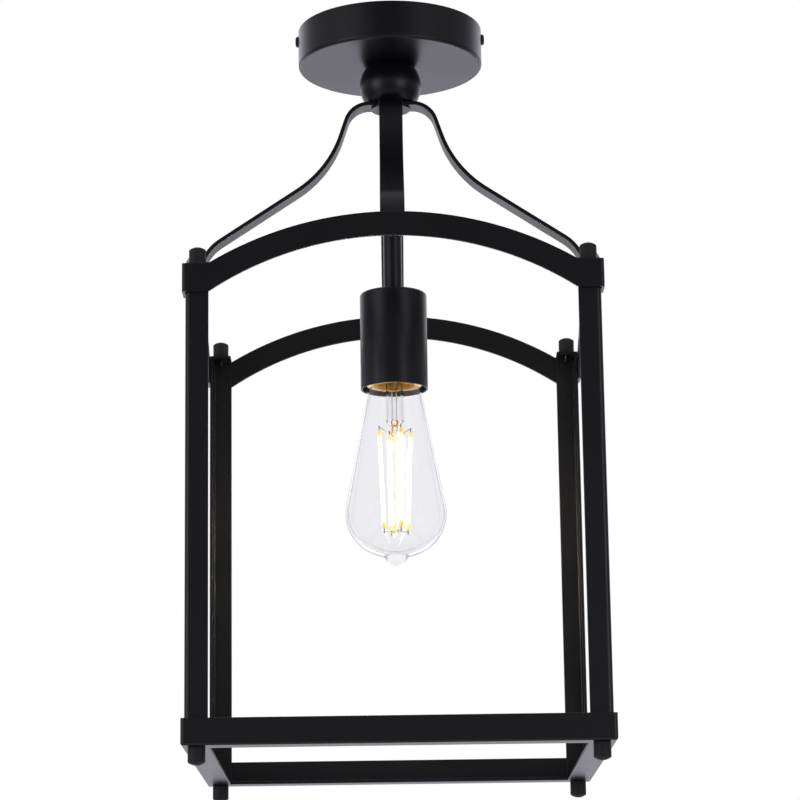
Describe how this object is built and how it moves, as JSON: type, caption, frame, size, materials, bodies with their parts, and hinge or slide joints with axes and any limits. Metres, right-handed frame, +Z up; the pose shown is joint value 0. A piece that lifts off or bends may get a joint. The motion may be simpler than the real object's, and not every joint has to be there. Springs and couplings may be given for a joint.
{
  "type": "semi-flush ceiling light",
  "caption": "Black open lantern ceiling light: round canopy, ball collar and curved straps carry a square arched cage round a bare screw-in filament bulb.",
  "frame": {"origin": "centre of the ceiling face, where the crossbar and the canopy's rim meet the ceiling", "axes": "+Z up into the ceiling, so the light hangs towards -Z; the cage's sides face X and Y, and the crossbar lies along X"},
  "size_m": [0.254, 0.254, 0.4913],
  "materials": {
    "black_powder_coat": "satin",
    "zinc_plated_steel": "satin",
    "green_zinc_steel": "satin",
    "white_porcelain": "gloss",
    "brass": "satin",
    "nickelled_brass": "gloss",
    "basing_cement": "matte",
    "black_wire_cover": "matte",
    "white_wire_cover": "matte",
    "orange_plastic": "gloss",
    "clear_glass": "clear",
    "black_glass": "gloss",
    "solder": "dull",
    "glowing_filament": "matte",
    "nickel_wire": "satin"
  },
  "bodies": {
    "fixture": {"canopy": "black_powder_coat", "canopy_side_screws": "black_powder_coat", "ball_collar": "black_powder_coat", "hub_disc": "black_powder_coat", "stem_tube": "black_powder_coat", "socket_cup": "black_powder_coat", "corner_plates": "black_powder_coat", "finial_studs": "black_powder_coat", "strap_front": "black_powder_coat", "strap_right": "black_powder_coat", "strap_back": "black_powder_coat", "strap_left": "black_powder_coat", "top_arch_front": "black_powder_coat", "top_arch_right": "black_powder_coat", "top_arch_back": "black_powder_coat", "top_arch_left": "black_powder_coat", "bottom_rail_front": "black_powder_coat", "bottom_rail_right": "black_powder_coat", "bottom_rail_back": "black_powder_coat", "bottom_rail_left": "black_powder_coat", "post_front_left": "black_powder_coat", "post_front_right": "black_powder_coat", "post_back_right": "black_powder_coat", "post_back_left": "black_powder_coat", "finial_front_left": "black_powder_coat", "finial_front_right": "black_powder_coat", "finial_back_right": "black_powder_coat", "finial_back_left": "black_powder_coat", "foot_front_left": "black_powder_coat", "foot_front_right": "black_powder_coat", "foot_back_right": "black_powder_coat", "foot_back_left": "black_powder_coat", "ceiling_bracket": "zinc_plated_steel", "upper_nipple": "zinc_plated_steel", "lower_nipple": "zinc_plated_steel", "canopy_lock_nut": "zinc_plated_steel", "canopy_lock_washer": "zinc_plated_steel", "socket_cup_nut": "zinc_plated_steel", "lampholder_screws": "zinc_plated_steel", "foot_studs": "zinc_plated_steel", "foot_nuts": "zinc_plated_steel", "ground_screw": "green_zinc_steel", "lampholder_cap": "white_porcelain", "lampholder_body": "white_porcelain", "screw_shell": "brass", "centre_contact": "brass", "live_lead": "black_wire_cover", "neutral_lead": "white_wire_cover", "wire_connectors": "orange_plastic"},
    "bulb_carrier": {"bulb_contact": "solder"},
    "bulb": {"bulb_glass": "clear_glass", "bulb_cap": "nickelled_brass", "bulb_insulator": "black_glass", "bulb_cement": "basing_cement", "bulb_stem": "clear_glass", "bulb_filaments": "glowing_filament", "bulb_wires": "nickel_wire"}
  },
  "joints": [
    {"name": "bulb_drop", "type": "slide", "parent": "fixture", "child": "bulb_carrier", "axis": [0, 0, -1], "range_m": [0, 0.0146]},
    {"name": "bulb_turn", "type": "hinge", "parent": "bulb_carrier", "child": "bulb", "pos_m": [0, 0, -0.23], "axis": [0, 0, -1], "range_deg": [0, 1440]}
  ],
  "couplings": [
    {"joint": "bulb_drop", "follows": "bulb_turn", "m_per_rad": 0.00057757}
  ]
}
